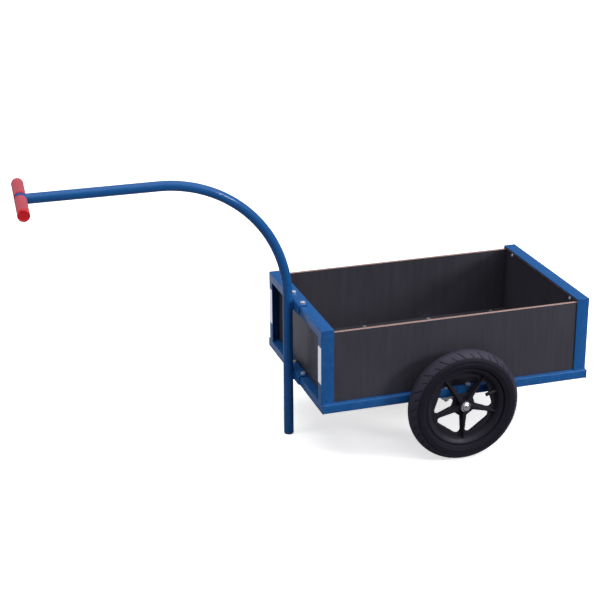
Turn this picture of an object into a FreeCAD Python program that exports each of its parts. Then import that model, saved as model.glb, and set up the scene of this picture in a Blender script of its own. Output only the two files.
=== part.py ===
import FreeCAD, Part
import math
import os

os.makedirs("parts", exist_ok=True)

# Two-wheeled hand cart: a steel angle frame with panel walls on a through axle, pulled by a
# bent tube drawbar whose lower end is the front stand. Millimetres. +X is the rear, -X is where
# the handle is, +Z is up, "left" is the -Y side. Z = 0 is the ground.

Vec = FreeCAD.Vector
ORIGIN = Vec(0, 0, 0)
FORWARDS = Vec(-1, 0, 0)
REARWARDS = Vec(1, 0, 0)
RIGHTWARDS = Vec(0, 1, 0)
UP = Vec(0, 0, 1)
DOWN = Vec(0, 0, -1)

# ---- driving dimensions ----
box_length = 760.0
box_width = 475.0              # over the posts and the top rails
box_height = 230.0
base_proud = 11.0              # the bottom frame stands out by this much on each side
wall = 3.0                     # steel of every angle and channel
flange = 35.0                  # width of the lying flanges and of the post's side flange
base_flange = 46.0             # width of the bottom side rail's flanges
post_front = 27.0              # width of the post's front flange
top_rail_drop = 25.0           # height of the top rail's outer flange
bottom_height = 25.0           # height of the bottom frame
board = 9.0                    # wall board thickness
board_below_top = 8.5          # top of the frame to the boards' top edges
floor_thickness = 12.0
end_recess = 22.0              # front face of the frame to the end board's outer face
tyre_radius = 155.0
axle_radius = 8.0
wheel_gap = 46.0               # side of the box to the wheel's middle plane
hub_inner = 31.0               # hub ends, from the wheel's middle plane
hub_outer = 20.5
hub_clearance = 0.5            # room for each end of the hub to turn
tube_radius = 13.45            # drawbar and crossbar tube
tube_wall = 2.3
drawbar_rise = 583.0           # underside of the frame to the drawbar's level run
drawbar_bend = 340.0           # bend radius at the tube's centreline
handle_reach = 708.0           # front face of the frame to the crossbar's axis
handle_half = 140.0            # half the length over both grips
handle_yaw = 4.4               # degrees that the crossbar is out of square with the drawbar
grip_radius = 16.0
bracket_plate = 4.0            # thickness of the drawbar's brackets

# ---- positions worked out from them ----
yaw = math.radians(handle_yaw)
overhang = handle_reach + handle_half * math.sin(yaw) + grip_radius * math.cos(yaw)
front = (overhang - box_length) / 2
rear = front + box_length
side = box_width / 2
base_side = side + base_proud
under = tyre_radius + axle_radius
top = under + box_height
ledge = under + bottom_height
rail_under = top - wall
board_top = top - board_below_top
floor_top = ledge + floor_thickness
inside_x = front + end_recess + board     # inner face of the front end board
axle_x = (front + rear) / 2
wheel_y = side + wheel_gap
tube_x = front - bracket_plate - tube_radius
crossbar_x = front - handle_reach
crossbar_z = under + drawbar_rise

# ---- bolts of the drawbar and of the axle ----
bolt_radius = 4.0
bolt_hole = 4.2
bolt_flats = 13.0
bolt_head_height = 5.3
bolt_nut_height = 6.5
bolt_past_nut = 2.5


# ---- helpers ----
def box(x0, x1, y0, y1, z0, z1):
    return Part.makeBox(x1 - x0, y1 - y0, z1 - z0, Vec(x0, y0, z0))


def rod(radius, start, direction, length):
    return Part.makeCylinder(radius, length, start, direction)


def pipe(outer, inner, start, direction, length):
    return rod(outer, start, direction, length).cut(rod(inner, start, direction, length))


def fused(pieces):
    return pieces[0].fuse(pieces[1:]).removeSplitter()


def mirrored_y(shape):
    """The same piece on the other side of the cart."""
    return shape.mirror(ORIGIN, RIGHTWARDS)


def mirrored_x(shape):
    """The same piece at the other end of the box."""
    return shape.mirror(Vec(axle_x, 0, 0), REARWARDS)


def at_corners(front_left):
    """The four copies of a piece of the front left corner."""
    front_pair = [front_left, mirrored_y(front_left)]
    return front_pair + [mirrored_x(piece) for piece in front_pair]


def save(name, shape):
    shape.exportStep("parts/" + name + ".step")


def save_sides(name, left_shape):
    save(name + "_left", left_shape)
    save(name + "_right", mirrored_y(left_shape))


def hexagon(across_flats, height, start, direction):
    """Hexagonal prism that stands on start and rises along direction."""
    corner = across_flats / math.sqrt(3)
    turns = [math.radians(60 * i) for i in range(7)]
    outline = [Vec(corner * math.cos(t), corner * math.sin(t), 0) for t in turns]
    prism = Part.Face(Part.makePolygon(outline)).extrude(Vec(0, 0, height))
    prism.Placement = FreeCAD.Placement(start, FreeCAD.Rotation(UP, direction))
    return prism


def nut(across_flats, height, hole, start, direction):
    return hexagon(across_flats, height, start, direction).cut(rod(hole, start, direction, height))


def downward_bolt(seat, stack):
    """Bolt whose head stands on seat, and whose shank goes down through a stack of plates and a nut."""
    shank = rod(bolt_radius, seat, DOWN, stack + bolt_nut_height + bolt_past_nut)
    return fused([shank, hexagon(bolt_flats, bolt_head_height, seat, UP)])


def downward_nut(start):
    return nut(bolt_flats, bolt_nut_height, bolt_radius, start, DOWN)


# ---- box frame ----
lug_y = side - 52.0
lug_half = 12.0
lug_drop = 18.0
lug_plate = 3.0
board_screw_radius = 3.0
board_screw_hole = 3.2
board_screw_z = rail_under - 12.0
board_nut_flats = 10.0
board_nut_height = 5.0
board_screw_past_nut = 1.0
button_height = 3.3
button_sphere = 6.5
floor_screw_radius = 2.5
floor_screw_hole = 2.7
floor_screw_head_radius = 5.0
floor_screw_head_height = 3.0
floor_screw_below_steel = 6.0
floor_screw_y = side - 24.0
floor_screw_xs = [axle_x + step for step in (-300.0, -100.0, 100.0, 300.0)]
saddle_bolt_y = base_side - 7.3
saddle_bolt_xs = [axle_x - 31.0, axle_x + 31.0]
strip_plate = 0.6
strip_margin = 1.0
strip_rise = 80.0
strip_length = 102.0


def side_channel():
    """Bottom side rail, a channel that opens inwards, between the two cross rails."""
    x0, x1 = front + wall, rear - wall
    y0, y1 = -base_side, -base_side + base_flange
    outer = box(x0, x1, y0, y1, under, ledge)
    hollow = box(x0, x1, y0 + wall, y1, under + wall, ledge - wall)
    holes = [rod(floor_screw_hole, Vec(x, -floor_screw_y, ledge - wall), UP, wall) for x in floor_screw_xs]
    holes += [rod(bolt_hole, Vec(x, -saddle_bolt_y, under), UP, bottom_height) for x in saddle_bolt_xs]
    return outer.cut(hollow).cut(holes)


def cross_rail():
    """Bottom rail across the front: an outer face, and a ledge that the end board stands on."""
    shelf_side = base_side - base_flange
    face = box(front, front + wall, -base_side, base_side, under, ledge)
    shelf = box(front + wall, front + flange, -shelf_side, shelf_side, ledge - wall, ledge)
    return fused([face, shelf])


def top_rail():
    """Angle over the end board: a lying flange on top, and an outer face."""
    lying = box(front, front + flange, -side, side, rail_under, top)
    face = box(front, front + wall, -side, side, top - top_rail_drop, rail_under)
    return fused([lying, face])


def corner_post():
    """Front left post: a wide side flange and a narrower front one."""
    side_flange = box(front + wall, front + flange, -side, -side + wall, ledge, rail_under)
    front_flange = box(front, front + wall, -side, -side + post_front, ledge, top - top_rail_drop)
    return fused([side_flange, front_flange])


def end_lug():
    """Tab welded under the front top rail, which the end board is screwed to."""
    x0, x1 = front + end_recess - lug_plate, front + end_recess
    tab = box(x0, x1, -lug_y - lug_half, -lug_y + lug_half, rail_under - lug_drop, rail_under)
    return tab.cut(rod(board_screw_hole, Vec(x0, -lug_y, board_screw_z), REARWARDS, lug_plate))


def reflector():
    """Reflective strip on the front flange of the left post."""
    low = under + strip_rise
    y0, y1 = -side + strip_margin, -side + post_front - strip_margin
    return box(front - strip_plate, front, y0, y1, low, low + strip_length)


# ---- boards ----
def floor_screw_head(x, y):
    base = Vec(x, y, floor_top - floor_screw_head_height)
    return Part.makeCone(floor_screw_radius, floor_screw_head_radius, floor_screw_head_height, base, UP)


def floor_screw(x, y):
    """Countersunk screw through the floor and the channel's top flange."""
    tip = Vec(x, y, ledge - wall - floor_screw_below_steel)
    shank = rod(floor_screw_radius, tip, UP, floor_top - floor_screw_head_height - tip.z)
    return fused([shank, floor_screw_head(x, y)])


def floor_panel():
    """Floor between the wall boards, which lies on the bottom frame."""
    y0 = -side + wall + board
    panel = box(inside_x, axle_x * 2 - inside_x, y0, -y0, ledge, floor_top)
    holes = []
    for x in floor_screw_xs:
        for y in (-floor_screw_y, floor_screw_y):
            holes.append(rod(floor_screw_radius, Vec(x, y, ledge), UP, floor_thickness))
            holes.append(floor_screw_head(x, y))
    return panel.cut(holes)


def side_panel():
    y0 = -side + wall
    return box(inside_x, axle_x * 2 - inside_x, y0, y0 + board, ledge, board_top)


def end_panel():
    x0 = front + end_recess
    panel = box(x0, x0 + board, -side + wall, side - wall, ledge, board_top)
    holes = [rod(board_screw_radius, Vec(x0, y, board_screw_z), REARWARDS, board) for y in (-lug_y, lug_y)]
    return panel.cut(holes)


def board_screw(y):
    """Round-headed screw from inside the box, through the front board and its lug."""
    seat = Vec(inside_x, y, board_screw_z)
    shank_length = board + lug_plate + board_nut_height + board_screw_past_nut
    shank = rod(board_screw_radius, seat, FORWARDS, shank_length)
    ball = Part.makeSphere(button_sphere, Vec(inside_x + button_height - button_sphere, y, board_screw_z))
    head = ball.common(rod(button_sphere, seat, REARWARDS, button_height))
    return fused([shank, head])


def board_nut(y):
    start = Vec(front + end_recess - lug_plate, y, board_screw_z)
    return nut(board_nut_flats, board_nut_height, board_screw_radius, start, FORWARDS)


# ---- axle and its saddles ----
saddle_half_length = 45.0
saddle_plate = 5.0
spacer_radius = 11.0
washer_radius = 13.0
washer_thickness = 1.5
washer_start = wheel_y + hub_outer + hub_clearance
cap_start = washer_start + washer_thickness
cap_height = 8.0
cap_radius = 12.5
cap_shell = 1.0
cap_lip = 0.8
axle_end = cap_start + 3.5


def axle_saddle():
    """Pressed saddle: it holds the axle up against the channel, and its ears take the bolts."""
    y0, y1 = -base_side, -base_side + flange
    outer = axle_radius + saddle_plate
    ear_low = under - saddle_plate
    ears = box(axle_x - saddle_half_length, axle_x + saddle_half_length, y0, y1, ear_low, under)
    belly = rod(outer, Vec(axle_x, y0, tyre_radius), RIGHTWARDS, flange)
    cheeks = box(axle_x - outer, axle_x + outer, y0, y1, tyre_radius, under)
    above = box(axle_x - outer, axle_x + outer, y0, y1, under, under + outer)
    seat = rod(axle_radius, Vec(axle_x, y0, tyre_radius), RIGHTWARDS, flange)
    throat = box(axle_x - axle_radius, axle_x + axle_radius, y0, y1, tyre_radius, under)
    holes = [rod(bolt_hole, Vec(x, -saddle_bolt_y, ear_low), UP, saddle_plate) for x in saddle_bolt_xs]
    return fused([ears, belly, cheeks]).cut([above, seat, throat] + holes)


def saddle_bolt(x):
    """Bolt from the ledge beside the board, down through the channel and the saddle's ear."""
    return downward_bolt(Vec(x, -saddle_bolt_y, ledge), bottom_height + saddle_plate)


def saddle_nut(x):
    return downward_nut(Vec(x, -saddle_bolt_y, under - saddle_plate))


def along_axle(y_outer, y_inner, outer, inner):
    """Ring on the left end of the axle, between two distances from the middle plane."""
    return pipe(outer, inner, Vec(axle_x, -y_outer, tyre_radius), RIGHTWARDS, y_outer - y_inner)


def section_point(radius, out):
    """Point of a section, from its distance from the turning axis and its distance out."""
    return Vec(radius, -out, 0)


def line(start, end):
    return Part.LineSegment(start, end).toShape()


def axle_cap():
    """Domed push-on cap that grips the axle's end."""
    centre_out = cap_start + cap_height - (cap_radius**2 + cap_height**2) / (2 * cap_height)
    outer = cap_start + cap_height - centre_out
    inner = outer - cap_shell
    lip_out = cap_start + cap_lip
    lip_radius = math.sqrt(inner**2 - (lip_out - centre_out) ** 2)

    def arc_point(radius, size):
        return section_point(radius, centre_out + math.sqrt(size**2 - radius**2))

    rim_corner = section_point(cap_radius, cap_start)
    lip_corner = section_point(lip_radius, lip_out)
    bore_start = section_point(axle_radius, cap_start)
    bore_end = section_point(axle_radius, lip_out)
    crown = Part.Arc(rim_corner, arc_point(cap_radius / 2, outer), arc_point(0, outer))
    hollow = Part.Arc(arc_point(0, inner), arc_point(lip_radius / 2, inner), lip_corner)
    edges = [
        line(bore_start, rim_corner),
        crown.toShape(),
        line(arc_point(0, outer), arc_point(0, inner)),
        hollow.toShape(),
        line(lip_corner, bore_end),
        line(bore_end, bore_start),
    ]
    turned = Part.Face(Part.Wire(edges)).revolve(ORIGIN, RIGHTWARDS, 360)
    turned.translate(Vec(axle_x, 0, tyre_radius))
    return turned


# ---- wheel, drawn about the Y axis with its middle plane at the origin ----
hub_radius = 17.0
sleeve_outer = 14.0
sleeve_inner = 12.5
web_half = 4.0
web_radius = 93.0
spoke_count = 5
spoke_step = 360.0 / spoke_count
window_turn = 18.0             # degrees from +X towards +Z, of the window that the valve is in
window_near, window_near_half = 31.0, 11.5     # hub end of a window: distance from the axle, half width
window_far, window_far_half = 77.0, 50.0       # barrel end of a window
window_near_round, window_far_round = 5.0, 8.0
rib_root_radius, rib_root_half, rib_root_out = hub_radius - 2.5, 6.0, 15.0
rib_tip_radius, rib_tip_half, rib_tip_out = 97.5, 1.2, 12.0
rib_depth_in_web = 1.0
barrel_inner = 92.0
drop_centre_radius = 97.0
seat_radius = 101.5            # where the tyre's beads sit
flange_radius = 109.5
rim_half = 19.5
bead_toe, bead_heel, bead_side = 11.0, 15.5, 17.0   # distances out from the middle plane
section_centre = 127.0         # of the tyre's round section
section_outer = tyre_radius - section_centre
section_inner = 23.0
shoulder_radius = 111.5
tyre_off_flange = 0.8
valve_out = 6.0                # the valve lies outside the web's middle
valve_radius = 4.0
valve_tip_radius = 3.2
valve_cap_radius = 4.8
valve_cap_end, valve_tip_end, valve_shoulder, valve_foot = 65.0, 67.0, 77.0, 107.0
roller_count = 8
roller_radius = 2.2
roller_length = 41.0
roller_start = -hub_outer + 5.0
roller_play = 0.05
roller_orbit = axle_radius + roller_play + roller_radius
cage_from_end = 3.0
cage_play = 0.4
tube_rubber_wall = 1.4
tube_play = 0.1


def lathe(half_profile):
    """Revolves a closed outline that is symmetric about the middle plane, given as its outer half."""
    points = half_profile + [(radius, -out) for radius, out in reversed(half_profile)]
    outline = [section_point(*point) for point in points + points[:1]]
    return Part.Face(Part.makePolygon(outline)).revolve(ORIGIN, RIGHTWARDS, 360)


def hub_ring(outer, inner, out_start, out_end):
    return pipe(outer, inner, Vec(0, -out_end, 0), RIGHTWARDS, out_end - out_start)


def turned_by(shape, degrees):
    """Turns a piece of the wheel from +X towards +Z."""
    shape.rotate(ORIGIN, RIGHTWARDS, -degrees)
    return shape


def rim_barrel():
    """Bead seats, drop centre and flanges, with a dished inner face towards the web."""
    dish_foot = (barrel_inner, web_half + 1.0)
    dish_bend = (drop_centre_radius, rim_half - 5.5)
    lip_inner = (flange_radius - 4.0, rim_half)
    lip_outer = (flange_radius - 1.0, rim_half)
    return lathe([
        (barrel_inner, 0.0), dish_foot, dish_bend, lip_inner, lip_outer,
        (flange_radius, rim_half - 1.0), (flange_radius, bead_side), (seat_radius, bead_heel),
        (seat_radius, bead_toe), (drop_centre_radius, bead_toe - 3.0), (drop_centre_radius, 0.0),
    ])


def window(degrees):
    """Opening between two spokes: a straight outer side, and sides that close towards the hub."""
    corners = [Vec(window_near, 0, -window_near_half), Vec(window_far, 0, -window_far_half),
               Vec(window_far, 0, window_far_half), Vec(window_near, 0, window_near_half)]
    outline = Part.makePolygon(corners + corners[:1])
    prism = Part.Face(outline).extrude(RIGHTWARDS * (4 * web_half))
    prism.translate(RIGHTWARDS * (-2 * web_half))
    for distance, rounding in ((window_near, window_near_round), (window_far, window_far_round)):
        through = [edge for edge in prism.Edges if abs(edge.tangentAt(edge.FirstParameter).y) > 0.9
                   and abs(edge.CenterOfMass.x - distance) < 0.1]
        prism = prism.makeFillet(rounding, through)
    return turned_by(prism, degrees)


def spoke_rib(degrees):
    """Raised rib on the outer face of a spoke, which tapers from the hub to the barrel."""
    foot = -web_half + rib_depth_in_web

    def rectangle(radius, half_width, out):
        corners = [Vec(radius, foot, -half_width), Vec(radius, -out, -half_width),
                   Vec(radius, -out, half_width), Vec(radius, foot, half_width)]
        return Part.makePolygon(corners + corners[:1])

    root = rectangle(rib_root_radius, rib_root_half, rib_root_out)
    tip = rectangle(rib_tip_radius, rib_tip_half, rib_tip_out)
    return turned_by(Part.makeLoft([root, tip], True, True), degrees)


def valve_rod(radius, nearest, farthest):
    """Rod on the valve's axis, between two distances from the axle."""
    return turned_by(rod(radius, Vec(nearest, -valve_out, 0), REARWARDS, farthest - nearest), window_turn)


def rim():
    web = hub_ring(web_radius, sleeve_outer, -web_half, web_half)
    web = web.cut([window(window_turn + spoke_step * i) for i in range(spoke_count)])
    ribs = [spoke_rib(window_turn + spoke_step * (i + 0.5)) for i in range(spoke_count)]
    hub = hub_ring(hub_radius, sleeve_outer, -hub_inner, hub_outer)
    return fused([web, rim_barrel(), hub] + ribs).cut(valve_rod(valve_radius, 70.0, 106.0))


def tyre():
    """Closed section: rounded crown and sidewalls, and two beads that sit in the rim."""
    def circle_out(size, radius):
        return math.sqrt(size**2 - (radius - section_centre) ** 2)

    outer_half = [
        (flange_radius, circle_out(section_inner, flange_radius)), (seat_radius, bead_toe - 0.5),
        (seat_radius, bead_heel), (flange_radius, bead_side), (flange_radius + 0.4, bead_side),
        (flange_radius + 0.6, rim_half + tyre_off_flange),
        (shoulder_radius, circle_out(section_outer, shoulder_radius)),
    ]
    near = [section_point(radius, out) for radius, out in outer_half]
    far = [section_point(radius, -out) for radius, out in reversed(outer_half)]
    crown = Part.Arc(near[-1], section_point(tyre_radius, 0), far[0])
    inside = Part.Arc(far[-1], section_point(section_centre + section_inner, 0), near[0])
    edges = [line(a, b) for a, b in zip(near, near[1:])] + [crown.toShape()]
    edges += [line(a, b) for a, b in zip(far, far[1:])] + [inside.toShape()]
    return Part.Face(Part.Wire(edges)).revolve(ORIGIN, RIGHTWARDS, 360)


def inner_tube():
    size = section_inner - tube_play
    bladder = Part.makeTorus(section_centre, size, ORIGIN, RIGHTWARDS)
    air = Part.makeTorus(section_centre, size - tube_rubber_wall, ORIGIN, RIGHTWARDS)
    return bladder.cut(air).cut(valve_rod(valve_radius, 95.0, 112.0))


def valve_stem():
    stem = valve_rod(valve_radius, valve_shoulder, valve_foot)
    tip = valve_rod(valve_tip_radius, valve_tip_end, valve_shoulder)
    return fused([stem, tip])


def valve_cap():
    whole = valve_rod(valve_cap_radius, valve_cap_end, valve_shoulder)
    return whole.cut(valve_rod(valve_tip_radius, valve_tip_end, valve_shoulder))


def roller(index, radius, start, length):
    turn = 2 * math.pi * index / roller_count
    base = Vec(roller_orbit * math.cos(turn), start, roller_orbit * math.sin(turn))
    return rod(radius, base, RIGHTWARDS, length)


def bearing_rollers():
    rollers = [roller(i, roller_radius, roller_start, roller_length) for i in range(roller_count)]
    return Part.makeCompound(rollers)


def bearing_cage():
    """Sleeve between the axle and the hub's steel, with a pocket for each roller."""
    play = 2 * roller_play
    ring = hub_ring(sleeve_inner - cage_play, axle_radius + 0.5, -hub_inner + cage_from_end,
                    hub_outer - cage_from_end)
    return ring.cut([roller(i, roller_radius + roller_play, roller_start - play, roller_length + 2 * play)
                     for i in range(roller_count)])


# ---- drawbar ----
level_start = tube_x - drawbar_bend
bend_z = crossbar_z - drawbar_bend
plug_flange = 4.0
plug_chamfer = 1.0
plug_insert = 18.0
grip_start = 15.5
grip_end_wall = 3.0
grip_edge = 2.0
bracket_half = 54.0
bracket_leg = 25.0
bracket_drop = 24.0
bracket_bolt_x = front + 12.0
bracket_bolt_ys = (-42.0, 42.0)
plate_washer = 1.6
plate_washer_radius = 8.0


def drawbar_solid(radius):
    """Upright leg, one quarter bend and a level run, as one solid rod."""
    leg = rod(radius, Vec(tube_x, 0, plug_flange), UP, bend_z - plug_flange)
    circle = Part.makeCircle(radius, Vec(tube_x, 0, bend_z), UP)
    bend = Part.Face(Part.Wire(circle)).revolve(Vec(level_start, 0, bend_z), RIGHTWARDS, -90)
    run = rod(radius, Vec(level_start, 0, crossbar_z), FORWARDS, level_start - crossbar_x)
    return fused([leg, bend, run])


def crossbar_axis_rod(radius, start, end):
    """Rod on the crossbar's axis, between two distances from the drawbar."""
    shape = rod(radius, Vec(crossbar_x, start, crossbar_z), RIGHTWARDS, end - start)
    shape.rotate(Vec(crossbar_x, 0, crossbar_z), UP, -handle_yaw)
    return shape


def drawbar_tube():
    hollow = drawbar_solid(tube_radius).cut(drawbar_solid(tube_radius - tube_wall))
    return hollow.cut(crossbar_axis_rod(tube_radius, -handle_half, handle_half))


def crossbar():
    end = handle_half - grip_end_wall
    bore = crossbar_axis_rod(tube_radius - tube_wall, -end, end)
    return crossbar_axis_rod(tube_radius, -end, end).cut(bore)


def grip(sign):
    """Moulded sleeve with a closed end."""
    inner, outer = sorted((sign * grip_start, sign * handle_half))
    sleeve = crossbar_axis_rod(grip_radius, inner, outer)
    outer_edges = [edge for edge in sleeve.Edges if edge.Length > 6 * grip_radius
                   and edge.CenterOfMass.y * sign > handle_half / 2]
    sleeve = sleeve.makeFillet(grip_edge, outer_edges)
    bore_inner, bore_outer = sorted((sign * grip_start, sign * (handle_half - grip_end_wall)))
    return sleeve.cut(crossbar_axis_rod(tube_radius, bore_inner, bore_outer))


def foot_plug():
    """Plastic plug: a chamfered disc under the leg, and an insert inside it."""
    disc = rod(tube_radius, Vec(tube_x, 0, 0), UP, plug_flange)
    ground_edges = [edge for edge in disc.Edges if edge.CenterOfMass.z < plug_flange / 4
                    and len(edge.Vertexes) == 1]
    disc = disc.makeChamfer(plug_chamfer, ground_edges)
    insert = rod(tube_radius - tube_wall, Vec(tube_x, 0, plug_flange), UP, plug_insert)
    return fused([disc, insert])


def drawbar_bracket(z):
    """Angle welded to the back of the tube: it hangs over a rail's lying flange, whose top is at z."""
    x0 = front - bracket_plate
    lying = box(x0, x0 + bracket_leg, -bracket_half, bracket_half, z, z + bracket_plate)
    upright = box(x0, front, -bracket_half, bracket_half, z - bracket_drop, z)
    holes = [rod(bolt_hole, Vec(bracket_bolt_x, y, z), UP, bracket_plate) for y in bracket_bolt_ys]
    return fused([lying, upright]).cut(holes)


def with_bracket_holes(rail, z):
    holes = [rod(bolt_hole, Vec(bracket_bolt_x, y, z - wall), UP, wall) for y in bracket_bolt_ys]
    return rail.cut(holes)


def bracket_bolt(y, z):
    return downward_bolt(Vec(bracket_bolt_x, y, z + bracket_plate), bracket_plate + wall + plate_washer)


def bracket_washer(y, z):
    return pipe(plate_washer_radius, bolt_radius, Vec(bracket_bolt_x, y, z - wall), DOWN, plate_washer)


def bracket_nut(y, z):
    return downward_nut(Vec(bracket_bolt_x, y, z - wall - plate_washer))


def at_bracket_bolts(make):
    """One solid per bolt of both brackets, each made by make(y, z of the rail flange's top)."""
    return Part.makeCompound([make(y, z) for z in (top, ledge) for y in bracket_bolt_ys])


# ---- the files ----
def save_frame():
    save_sides("bottom_side_rail", side_channel())
    save("bottom_cross_rail_front", with_bracket_holes(cross_rail(), ledge))
    save("bottom_cross_rail_rear", mirrored_x(cross_rail()))
    save("top_rail_front", with_bracket_holes(top_rail(), top))
    save("top_rail_rear", mirrored_x(top_rail()))
    save_sides("corner_post_front", corner_post())
    save_sides("corner_post_rear", mirrored_x(corner_post()))
    save("end_board_lugs", Part.makeCompound(at_corners(end_lug())))
    save_sides("reflector_strip", reflector())


def save_boards():
    save("floor_board", floor_panel())
    save_sides("side_board", side_panel())
    save("end_board_front", end_panel())
    save("end_board_rear", mirrored_x(end_panel()))
    save("end_board_screws", Part.makeCompound(at_corners(board_screw(-lug_y))))
    save("end_board_nuts", Part.makeCompound(at_corners(board_nut(-lug_y))))
    screws = [floor_screw(x, y) for x in floor_screw_xs for y in (-floor_screw_y, floor_screw_y)]
    save("floor_screws", Part.makeCompound(screws))


def save_axle():
    save("axle", rod(axle_radius, Vec(axle_x, -axle_end, tyre_radius), RIGHTWARDS, 2 * axle_end))
    save_sides("axle_saddle", axle_saddle())
    bolts = [saddle_bolt(x) for x in saddle_bolt_xs]
    nuts = [saddle_nut(x) for x in saddle_bolt_xs]
    save("axle_saddle_bolts", Part.makeCompound(bolts + [mirrored_y(piece) for piece in bolts]))
    save("axle_saddle_nuts", Part.makeCompound(nuts + [mirrored_y(piece) for piece in nuts]))
    spacer = along_axle(wheel_y - hub_inner - hub_clearance, base_side, spacer_radius, axle_radius)
    save("axle_spacers", Part.makeCompound([spacer, mirrored_y(spacer)]))
    washer = along_axle(washer_start + washer_thickness, washer_start, washer_radius, axle_radius)
    save("hub_washers", Part.makeCompound([washer, mirrored_y(washer)]))
    save_sides("hub_cap", axle_cap())


def save_wheels():
    pieces = {
        "rim": rim(),
        "tyre": tyre(),
        "inner_tube": inner_tube(),
        "valve_stem": valve_stem(),
        "valve_cap": valve_cap(),
        "hub_sleeve": hub_ring(sleeve_outer, sleeve_inner, -hub_inner, hub_outer),
        "bearing_cage": bearing_cage(),
        "bearing_rollers": bearing_rollers(),
    }
    for name, shape in pieces.items():
        shape.translate(Vec(axle_x, -wheel_y, tyre_radius))
        save_sides(name, shape)


def save_drawbar():
    save("drawbar_tube", drawbar_tube())
    save("drawbar_foot_plug", foot_plug())
    save("drawbar_bracket_top", drawbar_bracket(top))
    save("drawbar_bracket_bottom", drawbar_bracket(ledge))
    save("drawbar_bolts", at_bracket_bolts(bracket_bolt))
    save("drawbar_washers", at_bracket_bolts(bracket_washer))
    save("drawbar_nuts", at_bracket_bolts(bracket_nut))
    save("handle_crossbar", crossbar())
    save("handle_grip_left", grip(-1))
    save("handle_grip_right", grip(1))


save_frame()
save_boards()
save_axle()
save_wheels()
save_drawbar()
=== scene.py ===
from math import acos, atan2, cos, fmod, pi, radians, remainder, sin, sqrt, tan

import bmesh
import bpy
import numpy as np
from mathutils import Matrix, Vector


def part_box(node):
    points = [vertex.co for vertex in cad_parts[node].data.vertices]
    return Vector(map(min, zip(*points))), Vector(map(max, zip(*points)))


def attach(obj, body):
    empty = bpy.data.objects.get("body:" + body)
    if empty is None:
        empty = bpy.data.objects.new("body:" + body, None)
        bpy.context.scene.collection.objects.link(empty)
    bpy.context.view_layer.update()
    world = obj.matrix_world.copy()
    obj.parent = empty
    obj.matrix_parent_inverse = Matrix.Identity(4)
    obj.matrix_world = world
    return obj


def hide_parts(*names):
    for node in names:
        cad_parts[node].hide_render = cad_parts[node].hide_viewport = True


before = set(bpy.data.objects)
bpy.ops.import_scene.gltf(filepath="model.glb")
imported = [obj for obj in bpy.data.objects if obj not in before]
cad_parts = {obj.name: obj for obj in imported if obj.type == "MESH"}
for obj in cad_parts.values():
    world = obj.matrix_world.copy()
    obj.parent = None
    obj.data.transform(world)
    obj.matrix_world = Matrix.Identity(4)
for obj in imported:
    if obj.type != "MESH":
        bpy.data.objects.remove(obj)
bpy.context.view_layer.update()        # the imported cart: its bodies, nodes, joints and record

# Looks of a two-wheeled hand cart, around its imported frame. Lengths are millimetres until a mesh is
# made. +X is the rear, -Y is the side called left, +Z is up, and Z = 0 is the ground.
MM = 0.001


def corners(node):
    """Lowest and highest corner of a CAD node, in millimetres."""
    low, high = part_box(node)
    return low / MM, high / MM


# ---- places read from the frame ----
rail_low, rail_high = corners("top_rail_front")
foot_rail_low, foot_rail_high = corners("bottom_cross_rail_front")
side_rail_high = corners("bottom_side_rail_left")[1]
post_high = corners("corner_post_front_left")[1]
tyre_low, tyre_high = corners("tyre_left")
tube_low, tube_high = corners("drawbar_tube")
crossbar_low, crossbar_high = corners("handle_crossbar")
board_low, board_high = corners("end_board_front")
side_board_low, side_board_high = corners("side_board_left")
floor_low, floor_high = corners("floor_board")
cap_low, cap_high = corners("hub_cap_left")
strip_low, strip_high = corners("reflector_strip_left")
bracket_low, bracket_high = corners("drawbar_bracket_top")

front = rail_low.x
rear = corners("top_rail_rear")[1].x
side = rail_high.y
base_side = foot_rail_high.y
base_flange = side_rail_high.y + base_side
top = rail_high.z
rail_under = post_high.z
under = foot_rail_low.z
ledge = foot_rail_high.z
wall = top - rail_under
flange = rail_high.x - front
rail_drop_z = rail_low.z
post_front = post_high.y + side
board = board_high.x - board_low.x
axle_x = (front + rear) / 2
axle_z = (tyre_low.z + tyre_high.z) / 2
wheel_y = -(tyre_low.y + tyre_high.y) / 2
tyre_radius = (tyre_high.z - tyre_low.z) / 2
tube_radius = tube_high.y
tube_x = tube_high.x - tube_radius
level_z = tube_high.z - tube_radius
crossbar_x = (crossbar_low.x + crossbar_high.x) / 2
bracket_half = bracket_high.y

# ---- sizes that the frame doesn't state ----
bend_radius = 340.0
tube_wall = 2.3
handle_yaw = radians(4.4)
handle_half = 140.0
crossbar_half = handle_half - 3.0
grip_start = 15.5
grip_radius = corners("handle_grip_left")[1].z - level_z
bracket_plate = 4.0
bracket_drop = top - bracket_low.z
bracket_leg = 25.0
bracket_bolt_x = front + 12.0
bracket_bolt_y = 42.0
saddle_bolt_step = 31.0
saddle_bolt_y = base_side - 7.3
saddle_plate = 5.0
washer_plate = 1.6
screw_y = side - 52.0
screw_z = rail_under - 12.0
lug_plate = 3.0
floor_screw_y = side - 24.0
floor_screw_steps = (-300.0, -100.0, 100.0, 300.0)
bolt_flats = 13.0
bolt_head = 5.3
bolt_radius = 4.0
bolt_pitch = 1.25
bolt_nut = 6.5
screw_radius = 3.0
section_centre = 127.0
section_outer = tyre_radius - section_centre
seat_radius = 101.5
flange_radius = 109.5
rim_half = 19.5
hub_radius = 17.0
hub_inner = 31.0
hub_outer = 20.5
spoke_count = 5
window_centre = radians(18.0)
valve_out = 6.0
tread_radius = 150.0
tread_edge = 60.0        # degrees from the crown, round the tyre's section
round_points = 48        # points round a bolt, a nut or the drawbar


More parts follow.
